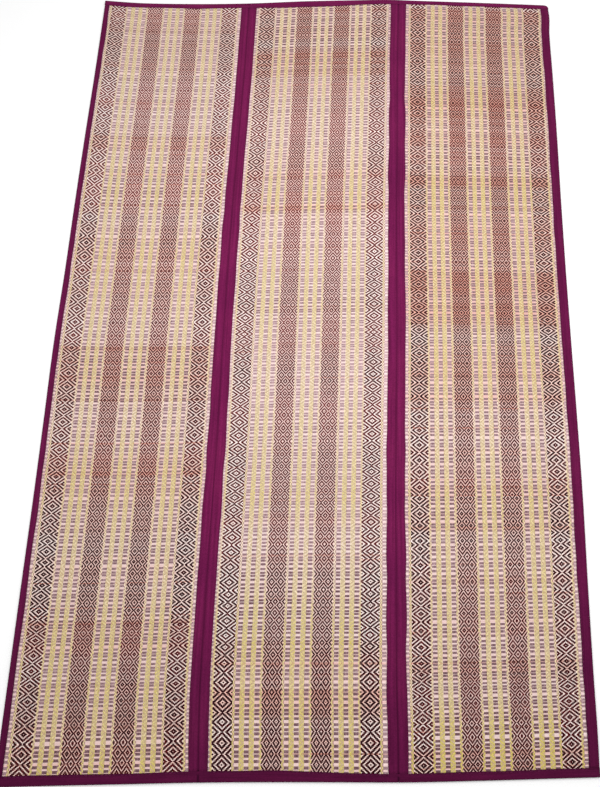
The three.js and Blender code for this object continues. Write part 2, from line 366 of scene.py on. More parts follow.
def warp_line(panel, y):
    """Ruled x of the pattern's middle at y, and how much wider than the layout the pattern is there."""
    share = y / LENGTH + 0.5
    (left_foot, left_head), (right_foot, right_head) = panel.slant
    left = left_foot + (left_head - left_foot) * share
    right = right_foot + (right_head - right_foot) * share
    return panel.middle + (left + right) / 2, panel.stretch + (right - left) / (2 * PATTERN_HALF)


def across(panel, offset, y):
    """Ruled x of a warp yarn, given its place in the layout."""
    middle, stretch = warp_line(panel, y)
    return middle + offset * stretch


def layout_share(panel, x, y):
    """The other way round: the place in the layout at ruled x and y, as a share of the reeds' span."""
    middle, stretch = warp_line(panel, y)
    return (x - middle) / stretch / (2 * REED_REACH) + 0.5


def lay(panel, points):
    """Lifts ruled points beside the cloth by a smooth step, and moves them to their uneven places."""
    x, y, z = np.moveaxis(points, -1, 0)
    held_left, held_right = panel.cloth[0] + HELD_PAST_CLOTH, panel.cloth[1] - HELD_PAST_CLOTH
    inside = np.minimum(np.minimum(x - held_left, held_right - x), END_HELD - np.abs(y))
    share = np.clip(1 - inside / RIM_SLOPE, 0, 1)
    uneven_x, uneven_y = uneven(x, y)
    return np.stack([uneven_x, uneven_y, z + RIM_LIFT * share * share * (3 - 2 * share)], -1)


for panel in PANELS:
    print(f"{panel.side} panel: pattern {2 * PATTERN_HALF * panel.stretch:.0f} mm across")

# %% [markdown]
# ## Colours and nodes
# Colours are written as the red, green and blue that a screen shows, and turned into the linear light that
# Blender computes with. Every node of a material could be made and linked in lines of its own. A small
# helper that adds a node and fills its sockets is shorter, and lets a material read like a recipe.

# %% Node helpers
WHITE = (1.0, 1.0, 1.0, 1.0)


def screen(red, green, blue):
    """A screen colour from 0 to 255 as linear light with full opacity."""
    share = np.array([red, green, blue]) / 255
    linear = np.where(share <= 0.04045, share / 12.92, ((share + 0.055) / 1.055) ** 2.4)
    return (*linear.tolist(), 1.0)


def add_node(tree, kind, sockets=None, **settings):
    """Adds a node, sets its properties, then links each given socket or sets its value."""
    node = tree.nodes.new(kind)
    for name, value in settings.items():
        setattr(node, name, value)
    for socket, value in (sockets or {}).items():
        if isinstance(value, bpy.types.NodeSocket):
            tree.links.new(value, node.inputs[socket])
        else:
            node.inputs[socket].default_value = value
    return node


def add_ramp(tree, factor, stops, interpolation="LINEAR"):
    """A colour ramp through (place, colour) stops."""
    node = add_node(tree, "ShaderNodeValToRGB", {"Fac": factor})
    ramp = node.color_ramp
    ramp.interpolation = interpolation
    while len(ramp.elements) < len(stops):
        ramp.elements.new(1.0)
    for element, (place, colour) in zip(ramp.elements, stops):
        element.position = place
        element.color = colour
    return node.outputs["Color"]


def mix_colours(tree, mode, share, first, second):
    """Two colours mixed by a share in one of Blender's mixing modes."""
    sockets = {0: share, 6: first, 7: second}
    return add_node(tree, "ShaderNodeMix", sockets, data_type="RGBA", blend_type=mode).outputs[2]


def shaded(tree, colour, factor, low, high, shade):
    """A colour times a ramp that rises from a shade at the low factor to white at the high one."""
    return mix_colours(tree, "MULTIPLY", 1.0, colour, add_ramp(tree, factor, [(low, shade), (high, WHITE)]))


def add_math(tree, operation, first, second=0.0):
    """One arithmetic step on two numbers."""
    return add_node(tree, "ShaderNodeMath", {0: first, 1: second}, operation=operation).outputs[0]


def start_material(name, roughness, specular):
    """A material with its shader's plain numbers set; returns it with its tree and shader."""
    material = bpy.data.materials.new(name)
    material.use_nodes = True
    shader = material.node_tree.nodes["Principled BSDF"]
    shader.inputs["Roughness"].default_value = roughness
    shader.inputs["Specular IOR Level"].default_value = specular
    return material, material.node_tree, shader


def add_bump(tree, shader, height, strength, distance):
    """Bumps the shader's normal by a height map, with distance in metres."""
    bump = add_node(tree, "ShaderNodeBump", {"Height": height, "Strength": strength, "Distance": distance})
    tree.links.new(bump.outputs["Normal"], shader.inputs["Normal"])


def own_tone(tree):
    """The tone that the mesh stores at each of its points."""
    return add_node(tree, "ShaderNodeAttribute", attribute_name="tone").outputs["Fac"]


def own_map(tree):
    """The mesh's own flat map."""
    return add_node(tree, "ShaderNodeUVMap", uv_map="OFBake").outputs["UV"]


def stretched_noise(tree, scale, detail=3.0, place=None):
    """Noise drawn out along each axis; scale counts waves to the metre, or across a map if one is given."""
    if place is None:
        place = add_node(tree, "ShaderNodeTexCoord").outputs["Object"]
    mapping = add_node(tree, "ShaderNodeMapping", {"Vector": place, "Scale": scale})
    sockets = {"Vector": mapping.outputs["Vector"], "Scale": 1.0, "Detail": detail}
    return add_node(tree, "ShaderNodeTexNoise", sockets).outputs["Fac"]


print(f"half a screen's white is {screen(128, 128, 128)[0]:.3f} of its light")

# %% [markdown]
# ## Reed and yarn finishes
# Split reed is pale, faintly glossy and streaked along its length. A material for each reed would mean
# thousands of them. So each reed's tone is stored in the mesh, and one ramp turns the tone into a colour.
# The cotton warp rubs off on the reeds that it crosses, so the reeds are stained stripe by stripe. The
# stain reads the mesh's own map, whose first axis runs across the panel.

# %% Reed material
STRIPE_STAINS = {
    "selvedge": (*screen(230, 198, 204)[:3], 0.5),
    "lilac": (*screen(214, 182, 184)[:3], 0.6),
    "yellow": (*screen(184, 160, 108)[:3], 0.8),
    # The edging's stain is a dark brown, darker than its yellow yarn, so the reed between the edging yarns
    # shows dark.
    "edging": (*screen(156, 112, 98)[:3], 0.8),
    "coarse": (*screen(246, 214, 212)[:3], 0.15),
    "fine": (*screen(238, 170, 161)[:3], 0.37),
}
REED_TONES = [
    (0.0, screen(254, 243, 238)),
    (0.35, screen(247, 217, 206)),
    (0.65, screen(232, 164, 142)),
    (0.85, screen(194, 124, 103)),
    (1.0, screen(122, 76, 62)),
]


def stripe_stain(tree):
    """A stepped ramp over half the layout, read at the distance from the middle: stain and its strength."""
    u = add_node(tree, "ShaderNodeSeparateXYZ", {0: own_map(tree)}).outputs["X"]
    from_middle = add_math(tree, "ABSOLUTE", add_math(tree, "SUBTRACT", u, 0.5))
    aside = add_math(tree, "MULTIPLY", from_middle, 2.0)
    inner = STRIPE_ENDS > 0
    starts = np.maximum(STRIPE_STARTS[inner], 0.0) / REED_REACH
    stops = [(float(s), STRIPE_STAINS[kind]) for s, kind in zip(starts, STRIPE_KINDS[inner])]
    return add_ramp(tree, aside, stops, "CONSTANT").node.outputs


def reed_material():
    """Tone ramp, stained by the stripe, times fine streaks along the reed; streaks bump the surface too."""
    material, tree, shader = start_material("split_reed", roughness=0.5, specular=0.25)
    colour = add_ramp(tree, own_tone(tree), REED_TONES)
    stain = stripe_stain(tree)
    colour = mix_colours(tree, "MIX", stain["Alpha"], colour, stain["Color"])
    streaks = stretched_noise(tree, (45.0, 1400.0, 400.0))
    colour = shaded(tree, colour, streaks, 0.3, 0.65, screen(236, 232, 228))
    tree.links.new(colour, shader.inputs["Base Color"])
    add_bump(tree, shader, streaks, 0.35, 0.0002)
    return material


def yarn_material(name, pale, deep, roughness):
    """From the pale to the deep colour by the yarn's tone, with fine plies that darken and bump it."""
    material, tree, shader = start_material(name, roughness, specular=0.12)
    colour = add_ramp(tree, own_tone(tree), [(0.0, pale), (1.0, deep)])
    plies = stretched_noise(tree, (900.0, 500.0, 300.0), 1.0)
    colour = shaded(tree, colour, plies, 0.35, 0.6, screen(205, 205, 205))
    tree.links.new(colour, shader.inputs["Base Color"])
    add_bump(tree, shader, plies, 0.4, 0.0002)
    return material


split_reed = reed_material()
maroon_yarn = yarn_material("maroon_yarn", screen(152, 36, 38), screen(42, 0, 7), 0.75)
yellow_yarn = yarn_material("yellow_yarn", screen(240, 219, 196), screen(216, 197, 104), 0.75)
lilac_yarn = yarn_material("lilac_yarn", screen(206, 171, 176), screen(110, 77, 84), 0.75)
print("reed and yarn finishes made")

# %% [markdown]
# ## The ground of each panel
# On the real mat reeds and yarns hold each other. Here a thin closed sheet carries the reeds and shows as
# the underside. A Solidify modifier could thicken one grid. Two grids, at the top and the bottom, with
# walls round the rim are as easy here and need no modifier. The sheet stands for the solid panel, with
# reeds and yarns as the pieces on it.

# %% Ground sheets
GROUND_TOP = 1.0
# The ground is browner than the reeds: painted shade where it shows between them.
GROUND_TONE_AND_SHADE = 0.45
PANEL_INSET = 2.0
FIELD_END, FIELD_ROWS = 850.0, 35
SLOPE_SHARES = np.array([0.0, 0.5, 1.0])


def panel_columns(panel):
    """Stations across a panel: its edges, the rim slopes, and a few between."""
    left, right = panel.cloth[0] + HELD_PAST_CLOTH, panel.cloth[1] - HELD_PAST_CLOTH
    slope = SLOPE_SHARES * RIM_SLOPE
    field = np.linspace(left + RIM_SLOPE, right - RIM_SLOPE, 5)[1:-1]
    first, last = panel.edges
    return np.concatenate([[first], left + slope, field, right - slope[::-1], [last]])


def grid_faces(rows, columns):
    """Corner numbers of a grid's quads, with rows counted along y and columns along x."""
    low = (np.arange(rows - 1)[:, None] * columns + np.arange(columns - 1)).ravel()
    return np.column_stack([low, low + 1, low + 1 + columns, low + columns])


def rim_of_grid(rows, columns):
    """Corner numbers round a grid's rim, counterclockwise from the first corner."""
    foot = np.arange(columns)
    right = np.arange(1, rows) * columns + columns - 1
    head = (rows - 1) * columns + np.arange(columns - 2, -1, -1)
    left = np.arange(rows - 2, 0, -1) * columns
    return np.concatenate([foot, right, head, left])


def ground_sheet(panel):
    """Top and bottom grids at two heights and a wall of quads round the rim."""
    x = panel_columns(panel)
    end = HALF_LENGTH - PANEL_INSET
    rim_rows = END_HELD - SLOPE_SHARES * RIM_SLOPE
    field_rows = np.linspace(-FIELD_END, FIELD_END, FIELD_ROWS)
    y = np.sort(np.concatenate([[-end], -rim_rows, field_rows, rim_rows, [end]]))
    flat_x, flat_y = [side.ravel() for side in np.meshgrid(x, y)]
    top = lay(panel, np.column_stack([flat_x, flat_y, np.full(len(flat_x), GROUND_TOP)]))
    bottom = lay(panel, np.column_stack([flat_x, flat_y, np.zeros(len(flat_x))]))
    faces = grid_faces(len(y), len(x))
    rim = rim_of_grid(len(y), len(x))
    onward = np.roll(rim, -1)
    below = len(top)
    walls = np.column_stack([rim + below, onward + below, onward, rim])
    quads = np.concatenate([faces, faces[:, ::-1] + below, walls])
    share = np.column_stack([layout_share(panel, flat_x, flat_y), flat_y / LENGTH + 0.5])
    uv = np.concatenate([share, share])[quads.ravel()]
    points = np.concatenate([top, bottom])
    tone = np.full(len(points), GROUND_TONE_AND_SHADE)
    sheet = make_piece(f"ground_{panel.side}", points, [quads], split_reed, uv, tone)
    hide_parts(panel.node)
    return sheet


grounds = [ground_sheet(panel) for panel in PANELS]

# %% [markdown]
# ## The reeds
# A reed is split and a little flattened: a long bar across the panel with a flat top and two sloping sides,
# which smooth shading rounds off. Its underside faces the ground sheet and is left out. The reeds could be
# copies of one bar, but copies would not bow or follow the uneven edges. So one array holds every reed,
# station and section point of a panel, and the whole weft is worked out at once. Tones are charted in
# stretches: bundles of reeds of a different colour, paler stretches of painted sheen, and a darker foot.

# %% Reeds
REED_BASE, REED_CREST = 1.15, 1.65
REED_FLAT = 0.5
CREST_CHANGE, CREST_LIMIT, REED_BOW = 0.05, 0.1, 0.12
REED_TONE, REED_CHANGE = 0.2, 0.08
TONE_WANDERS = [(60.0, 0.04), (20.0, 0.07)]
ODD_CHANCE, ODD_BROWN, ODD_PALE = 0.03, 0.4, -0.2
STRETCH_FADE = 6.0

# Each reed has a row of the map to itself, with its four section points at these shares of the row.
TEXTURE_ROWS = 1024
ROW_SHARES = [0.3, 0.43, 0.57, 0.7]

# Stretches along each panel that are paler or browner: from, to, change of tone. Some are bundles of another
# colour, some paler ones are painted sheen.
BUNDLES_AND_SHEEN = {
    "left": [
        (-910, -840, 0.2), (-840, -730, 0.1), (-625, -555, 0.12), (-405, -295, 0.15),
        (-165, -30, 0.25), (-28, 75, -0.1), (175, 235, 0.15), (240, 395, -0.08),
        (475, 515, 0.12), (520, 670, -0.14), (735, 835, 0.08),
    ],
    "middle": [
        (-910, -835, 0.16), (-805, -745, 0.25), (-660, 296, -0.22), (-365, -235, -0.16),
        (40, 75, 0.2), (298, 318, 0.3), (318, 475, 0.06), (480, 560, -0.1),
        (675, 755, 0.3), (755, 900, 0.2),
    ],
    "right": [
        (-910, -855, 0.2), (-850, -750, -0.08), (-735, -690, 0.2), (-530, -450, -0.1),
        (-445, -350, 0.18), (-305, -265, 0.15), (-170, 890, 0.24), (10, 150, 0.07),
        (300, 400, 0.1), (555, 655, 0.14), (655, 890, 0.06),
    ],
}


def bundle_and_sheen_tone(panel, y):
    """The charted changes at each y, fading out over a few millimetres at their ends."""
    tone = np.zeros_like(y)
    for start, stop, change in BUNDLES_AND_SHEEN[panel.side]:
        inside = np.minimum(y - start, stop - y)
        tone += change * np.clip(inside / STRETCH_FADE, 0, 1)
    return tone


def reed_tones(panel, stations):
    """By reed and station: two wanderings, the charted stretches of bundle colour and painted sheen, the
    reed's own tone, and some odd part lengths.
    """
    rng, picks = panel.rng, panel.picks
    tone = np.full(len(picks), REED_TONE)
    for spacing, size in TONE_WANDERS:
        tone += wander(rng, spacing, size)(picks)
    tone += bundle_and_sheen_tone(panel, picks) + rng.normal(0, REED_CHANGE, len(picks))
    chance = rng.random(len(tone))
    odd = np.select([chance < ODD_CHANCE, chance > 1 - ODD_CHANCE], [ODD_BROWN, ODD_PALE], 0.0)
    reach = rng.integers(2, stations + 4, len(tone))
    covered = (np.arange(stations) < reach[:, None]) ^ (rng.random(len(tone)) < 0.5)[:, None]
    return np.clip(tone[:, None] + odd[:, None] * covered, 0, 1)


def reed_bars(panel):
    """Bars along x: for each reed and station four points, two low at its sides and two on its flat crest."""
    x = panel_columns(panel)
    count, stations = len(panel.picks), len(x)
    low, high = panel.bounds[:-1], panel.bounds[1:]
    crest_low = panel.picks + REED_FLAT * (low - panel.picks)
    crest_high = panel.picks + REED_FLAT * (high - panel.picks)
    crest = REED_CREST + np.clip(panel.rng.normal(0, CREST_CHANGE, count), -CREST_LIMIT, CREST_LIMIT)
    base = np.full(count, REED_BASE)
    bow = panel.rng.normal(0, REED_BOW, (count, stations))
    section_y = np.stack([low, crest_low, crest_high, high], -1)[:, None, :] + bow[:, :, None]
    section_z = np.stack([base, crest, crest, base], -1)
    shape = (count, stations, 4)
    ruled = np.stack([
        np.broadcast_to(x[None, :, None], shape),
        section_y,
        np.broadcast_to(section_z[:, None, :], shape),
    ], -1).reshape(-1, 3)
    number = np.arange(count * stations * 4).reshape(shape)
    here, there = number[:, :-1], number[:, 1:]
    corners = [here[:, :, :-1], there[:, :, :-1], there[:, :, 1:], here[:, :, 1:]]
    quads = np.stack(corners, -1).reshape(-1, 4)
    u = layout_share(panel, ruled[:, 0], ruled[:, 1])
    in_row = np.broadcast_to(ROW_SHARES, shape)
    v = (np.arange(count)[:, None, None] + in_row).ravel() / TEXTURE_ROWS
    uv = np.column_stack([u, v])[quads.ravel()]
    tone = np.repeat(reed_tones(panel, stations).ravel(), 4)
    return make_piece(f"reeds_{panel.side}", lay(panel, ruled), [quads], split_reed, uv, tone)


reeds = [reed_bars(panel) for panel in PANELS]

# %% [markdown]
# ## The warp yarns
# Seen from above, a yarn is a row of floats: it passes over two reeds, dives under two, and comes up again.
# Which reeds it passes over follows from its shaft and the pedal of each pick. A yarn could be a tube that
# winds up and down, but half of it would be hidden. So only the floats are built, as little pillows with a
# ridge. The diamonds, the lilac bars and the yellow zigzags then appear by themselves. A yarn's tone
# changes from foot to head, and takes a share of the change charted for the reeds.

# %% Yarn floats
FLOAT_BASE, FLOAT_TOP = 1.76, 2.35
SINK, SINK_CHANGE, SINK_LIMIT = 0.05, 0.06, 0.2
DIVE, DIVE_CHANGE = 0.3, 0.06
YARN_SWAY, WIDTH_CHANGE, FLOAT_TONE_CHANGE = 0.06, 0.04, 0.07
RIDGE_SHORT, RIDGE_SHARE = 0.9, 0.3
YARN_TONE_SPACING = 90.0
PILLOW_POINTS = 6


def pillows(x, start, stop, width, base, top, ridge_short):
    """Six points each: a base rectangle, and above its middle line a ridge that stops short of both ends."""
    left, right = x - width / 2, x + width / 2
    ridge_start, ridge_stop = start + ridge_short, stop - ridge_short
    corners = [(left, start, base), (right, start, base), (right, stop, base), (left, stop, base)]
    ridge = [(x, ridge_start, top), (x, ridge_stop, top)]
    return np.stack([np.stack(np.broadcast_arrays(*point), -1) for point in [*corners, *ridge]], -2)


def pillow_faces(count):
    """Two sloping sides and two end triangles for each pillow."""
    first = PILLOW_POINTS * np.arange(count)[:, None]
    sides = np.concatenate([first + [0, 4, 5, 3], first + [1, 2, 5, 4]])
    ends = np.concatenate([first + [0, 1, 4], first + [2, 3, 5]])
    return [sides, ends]


def runs_up(raised):
    """First and last pick of every run of picks that a raised yarn passes over."""
    change = np.diff(np.concatenate([[0], raised.astype(int), [0]]))
    return np.flatnonzero(change == 1), np.flatnonzero(change == -1) - 1


def float_rows(panel, yarns, first_pedal):
    """Offset, width, paleness, start and stop of each float: up when pedal plus shaft is 0 or 1 of 4."""
    rows = []
    for shaft in range(4):
        first, last = runs_up((panel.pedals + shaft - first_pedal) % 4 < 2)
        chosen = yarns[yarns[:, 2] % 4 == shaft]
        along = np.stack([panel.bounds[first], panel.bounds[last + 1]])
        of_yarn = np.repeat(chosen[:, [0, 1, 3]].T, len(first), axis=1)
        rows.append(np.concatenate([of_yarn, np.tile(along, len(chosen))]))
    return np.concatenate(rows, 1)


def yarn_piece(panel, colour, first_pedal, kinds, material, tones, tone_size, bundle_and_sheen_share, fill):
    """All floats of one colour in a panel, each a little uneven, toned from foot to head with a wander."""
    offset, width, paler, start, stop = float_rows(panel, yarns_of(*kinds), first_pedal)
    rng, count = panel.rng, len(offset)
    offset = offset + rng.normal(0, YARN_SWAY, count)
    y = (start + stop) / 2
    x = across(panel, offset, y)
    width = width * panel.stretch * np.interp(y, TONE_PLACES, fill) * rng.normal(1, WIDTH_CHANGE, count)
    dive = DIVE + rng.normal(0, DIVE_CHANGE, count)
    top = FLOAT_TOP + np.clip(rng.normal(-SINK, SINK_CHANGE, count), -SINK_LIMIT, 0)
    ridge_short = np.minimum(RIDGE_SHORT, RIDGE_SHARE * (stop - start))
    ruled = pillows(x, start - dive, stop + dive, width, FLOAT_BASE, top, ridge_short)
    # A share of the charted stretches, painted sheen among them, tones the yarns too.
    tone = np.interp(y, TONE_PLACES, tones) - paler + bundle_and_sheen_share * bundle_and_sheen_tone(panel, y)
    tone += wander(rng, YARN_TONE_SPACING, tone_size)(y)
    tone = np.clip(tone + rng.normal(0, FLOAT_TONE_CHANGE, count), 0, 1)
    tone = np.repeat(tone, PILLOW_POINTS)
    points = ruled.reshape(-1, 3)
    faces = pillow_faces(count)
    span = panel.edges[1] - panel.edges[0]
    share = np.column_stack([(points[:, 0] - panel.edges[0]) / span, points[:, 1] / LENGTH + 0.5])
    uv = share[np.concatenate([kind.ravel() for kind in faces])]
    name = f"{colour}_yarn_{panel.side}"
    return make_piece(name, lay(panel, points), faces, material, uv, tone)


# Tones and widths are given at the foot, about a quarter of the way up, and at the head.
TONE_PLACES = [-HALF_LENGTH, -500.0, HALF_LENGTH]
YARN_SETTINGS = {
    "maroon": dict(
        kinds=("coarse", "fine"), material=maroon_yarn, tones=(0.96, 0.9, 0.72), tone_size=0.1,
        bundle_and_sheen_share=0.4, fill=(1.5, 1.17, 1.08),
    ),
    "yellow": dict(
        kinds=("yellow", "edging"), material=yellow_yarn, tones=(0.95, 0.48, 0.38), tone_size=0.16,
        bundle_and_sheen_share=0.5, fill=(0.84, 0.84, 0.84),
    ),
    "lilac": dict(
        kinds=("lilac", "selvedge"), material=lilac_yarn, tones=(0.9, 0.62, 0.52), tone_size=0.1,
        bundle_and_sheen_share=0.5, fill=(1.0, 1.0, 1.0),
    ),
}
FIRST_PEDAL = {
    "left": {"maroon": 1, "yellow": 0, "lilac": 1},
    "middle": {"maroon": 3, "yellow": 0, "lilac": 2},
    "right": {"maroon": 1, "yellow": 0, "lilac": 1},
}
yarns = {
    panel.side: [
        yarn_piece(panel, colour, FIRST_PEDAL[panel.side][colour], **settings)
        for colour, settings in YARN_SETTINGS.items()
    ]
    for panel in PANELS
}

# %% [markdown]
# ## Binding cloth
# The edges are bound with plain maroon cotton. Its colour wanders slowly, is streaked along the strip and
# has small slubs, which also bump the surface. Shade could be painted on a picture of the cloth. Here each
# point of the mesh stores how much painted shade it takes, so that lips, folds, creases and seams come out
# darker wherever the strip runs, and the cloth grows darker towards the foot.

# %% Cloth material
def cloth_material():
    """Slow colour changes times streaks on the strip's own map and slubs, mixed to near black by painted
    shade.
    """
    material, tree, shader = start_material("maroon_cotton", roughness=0.9, specular=0.08)
    broad = stretched_noise(tree, (14.0, 9.0, 10.0), 4.0)
    colour = add_ramp(tree, broad, [
        (0.3, screen(109, 22, 73)),
        (0.5, screen(116, 25, 77)),
        (0.7, screen(122, 29, 80)),
    ])
    streaks = stretched_noise(tree, (44.0, 9.0, 1.0), 2.0, own_map(tree))
    colour = shaded(tree, colour, streaks, 0.32, 0.66, screen(216, 206, 214))
    slubs = stretched_noise(tree, (700.0, 700.0, 300.0), 2.0)
    colour = shaded(tree, colour, slubs, 0.3, 0.6, screen(214, 205, 214))
    # Painted shade: the tone stored at each point mixes the cloth towards a near black maroon.
    colour = mix_colours(tree, "MIX", own_tone(tree), colour, screen(38, 0, 24))
    tree.links.new(colour, shader.inputs["Base Color"])
    add_bump(tree, shader, slubs, 0.5, 0.0003)
    return material


maroon_cotton = cloth_material()
print("binding cloth made")

# %% [markdown]
# ## Profiles of the strips
# A bevelled bar could stand for a strip of cloth, but its edges would look hard. So a strip is one profile,
# drawn across the binding, that is carried along the edge. A binding is folded over, so its profile has a
# rounded fold, a soft top, a small groove where the seam pulls it down, and a lip at the inner edge. A
# joining strip has a lip on both sides and a crease between them.

# %% Strip profiles
LEFT_WIDTH, RIGHT_WIDTH, JOIN_HALF = 13.5, 20.5, 19.2

# Painted shade at each profile point, from the lip over the seam groove and the top to the underside.
TOP_PAINTED_SHADE = [0.55, 0.35, 0.1, 0.1, 0.3, 0.05, 0.0, 0.0]
FOLD_PAINTED_SHADE = [0.05, 0.2, 0.35, 0.4, 0.35, 0.1, 0.1]
UNDER_PAINTED_SHADE = [0.4, 0.5, 0.6, 0.6, 0.6]
BINDING_PAINTED_SHADE = np.array([*TOP_PAINTED_SHADE, *FOLD_PAINTED_SHADE, *UNDER_PAINTED_SHADE])
JOIN_TOP_PAINTED_SHADE = [*TOP_PAINTED_SHADE, 0.08, 0.25]
CREASE_PAINTED_SHADE = 0.42
JOIN_UNDER_PAINTED_SHADE = [0.6, 0.6, 0.5, 0.4, 0.0]
JOIN_PAINTED_SHADE = np.array([
    *JOIN_TOP_PAINTED_SHADE, CREASE_PAINTED_SHADE, *reversed(JOIN_TOP_PAINTED_SHADE),
    *JOIN_UNDER_PAINTED_SHADE, *reversed(JOIN_UNDER_PAINTED_SHADE),
])


def sewn_lip(edge):
    """Points from a strip's inner edge over its lip, through the seam groove and up to its top."""
    zero = np.zeros_like(edge)
    return [
        (edge, zero + 3.8), (edge + 0.1, zero + 4.2), (edge - 0.5, zero + 4.7),
        (edge - 1.6, zero + 4.75), (edge - 2.3, zero + 4.4), (edge - 3.1, zero + 4.75),
    ]


def binding_profile(width, puff):
    """Points (inwards, up) round a folded strip, for arrays of widths and of how far its top puffs up."""
    zero = np.zeros_like(width)
    outside = [
        *sewn_lip(width), (width * 0.55 + 0.6, 4.95 + puff), (zero + 3.2, 4.9 + puff / 2),
        (zero + 1.3, zero + 4.5), (zero + 0.3, zero + 3.6), (zero, zero + 2.5), (zero + 0.3, zero + 1.3),
        (zero + 1.3, zero + 0.35), (zero + 3.2, zero), (width - 0.5, zero), (width, zero + 0.5),
        (width, zero + 1.1),
    ]
    inside = [(zero + 1.6, zero + 1.1), (zero + 1.0, zero + 2.5), (zero + 1.6, zero + 3.8)]
    return np.stack([np.stack(point, -1) for point in [*outside, *inside]], 1)


def join_profile(half, puff):
    """Points (across, up) round a joining strip: two layers, sewn together under a crease on the fold."""
    zero = np.zeros_like(half)
    right_top = [
        *sewn_lip(half), (half * 0.55, 4.95 + puff), (zero + 4.0, 4.9 + puff / 2),
        (zero + 2.2, zero + 4.55), (zero + 0.9, zero + 3.6),
    ]
    crease = [(zero, zero + 3.3)]
    left_top = [(-aside, up) for aside, up in reversed(right_top)]
    left_under = [
        (zero - 3.0, zero + 3.8), (zero - 3.0, zero + 1.1), (-half, zero + 1.1), (-half, zero + 0.5),
    ]
    floor = [(0.5 - half, zero), (half - 0.5, zero)]
    right_under = [(-aside, up) for aside, up in reversed(left_under)]
    points = [*right_top, *crease, *left_top, *left_under, *floor, *right_under]
    return np.stack([np.stack(point, -1) for point in points], 1)


profile_points = len(BINDING_PAINTED_SHADE), len(JOIN_PAINTED_SHADE)
print("profile points of a binding and a joining strip:", *profile_points)

# %% [markdown]
# ## Strips along the mat
# A curve with a bevel shape could carry the profile, but would keep it the same all along. Here stations of
# the profile, joined by quads and closed at both ends, make a strip, whose width and puffed top wander a
# little from station to station, as sewing does. The long strips run from one end binding's inner edge to
# the other's, and grow darker near the foot.

# %% Long strips
STATION_STEP = 6.0
END_GAP = 0.1
EDGE_SPACING, EDGE_CHANGE = 45.0, 0.55
PUFF_SPACING, PUFF_CHANGE = 30.0, 0.09
FOOT_SHADE, SIDE_SHADE = 0.32, 0.24
SHADE_START, SHADE_LENGTH = -400.0, 500.0


def loft(name, points, tones, node):
    """A closed tube through stations of one profile, with a face over each end and a map round it."""
    stations, around, _ = points.shape
    number = np.arange(stations * around).reshape(stations, around)
    turned = np.roll(number, -1, 1)
    quads = np.stack([number[:-1], turned[:-1], turned[1:], number[1:]], -1).reshape(-1, 4)
    ends = np.stack([number[0][::-1], number[-1]])
    spans = stations - 1
    u = np.tile(np.array([0, 1, 1, 0]) + np.arange(around)[:, None], (spans, 1, 1)).ravel() / around
    v = np.repeat(np.arange(spans), around * 4) + np.tile([0, 0, 1, 1], spans * around)
    end_uv = np.zeros(2 * around)
    uv = np.column_stack([np.concatenate([u, end_uv]), np.concatenate([v / stations, end_uv])])
    tone = np.clip(np.broadcast_to(tones, points.shape[:2]), 0, 1)
    faces = [quads, ends]
    piece = make_piece(name, points.reshape(-1, 3), faces, maroon_cotton, uv, tone)
    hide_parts(node)
    return piece


def placed(x, y, up):
    """Ruled x and y and a height as uneven points."""
    return np.stack([*uneven(x, y), np.broadcast_to(up, x.shape)], -1)


strip_rng = np.random.default_rng(5)
edge_wander = {
    name: wander(strip_rng, EDGE_SPACING, EDGE_CHANGE)
    for name in ("left", "right", "fold_a", "fold_b", "head", "foot")
}
puff_wander = wander(strip_rng, PUFF_SPACING, PUFF_CHANGE)


def foot_edge(x):
    """Ruled y of the foot binding's inner edge."""
    return -HALF_LENGTH + foot_width(x) + edge_wander["foot"](x)


def head_edge(x):
    """Ruled y of the head binding's inner edge."""
    return HALF_LENGTH - head_width(x) - edge_wander["head"](x)


def long_strip(name, node, share, profile, tones, x_of):
    """A strip with a station at each share of the way from the foot binding to the head binding."""
    x = x_of(profile[:, :, 0])
    foot, head = foot_edge(x) + END_GAP, head_edge(x) - END_GAP
    y = foot + (head - foot) * share[:, None]
    tones = tones + FOOT_SHADE * np.clip((SHADE_START - y) / SHADE_LENGTH, 0, 1)
    return loft(name, placed(x, y, profile[:, :, 1]), tones, node)


# The right binding is a mirror image, so its stations run the other way to keep its faces outwards.
long_stations = int(LENGTH / STATION_STEP)
downwards = np.linspace(1, 0, long_stations)
places = np.linspace(HALF_LENGTH, -HALF_LENGTH, long_stations)
left_strip = long_strip(
    "left_binding", "binding_left", downwards,
    binding_profile(LEFT_WIDTH + edge_wander["left"](places), puff_wander(places)),
    BINDING_PAINTED_SHADE + SIDE_SHADE, lambda inwards: -HALF_WIDTH + inwards,
)
right_strip = long_strip(
    "right_binding", "binding_right", 1 - downwards,
    binding_profile(RIGHT_WIDTH + edge_wander["right"](-places), puff_wander(-places)),
    BINDING_PAINTED_SHADE + SIDE_SHADE, lambda inwards: HALF_WIDTH - inwards,
)
fold_strips = [
    long_strip(
        name, node, downwards,
        join_profile(JOIN_HALF + edge_wander[wave](places), puff_wander(places)),
        JOIN_PAINTED_SHADE, lambda aside, fold=fold: fold + aside,
    )
    for name, node, wave, fold in (
        ("left_fold_strip", "join_left", "fold_a", -FOLD_X),
        ("right_fold_strip", "join_right", "fold_b", FOLD_X),
    )
]

# %% [markdown]
# ## Bindings across the ends
# The head and foot bindings run over the whole width. They are creased on the two fold lines, and their lip
# lies flush where a long strip meets them. A Boolean could cut the head's right corner round. Drawing the
# profile in there does it too, and keeps the fold soft.

# %% End bindings
CORNER_RADIUS = 9.0
CORNER_TURNS = np.radians([0, 20, 40, 55, 70, 80])
CREASE_WIDTH, CREASE_DEPTH, CREASE_SHADE = 1.8, 0.6, 0.45
FLUSH_HEIGHT, FLUSH_EASE = 4.9, 1.0
LIP_POINTS = 6


def corner_cut(x):
    """How far the rounded corner at the head's right end cuts in at each x, by a quarter circle."""
    past = np.clip(x - (HALF_WIDTH - CORNER_RADIUS), 0, CORNER_RADIUS)
    return CORNER_RADIUS - np.sqrt(CORNER_RADIUS ** 2 - past ** 2)


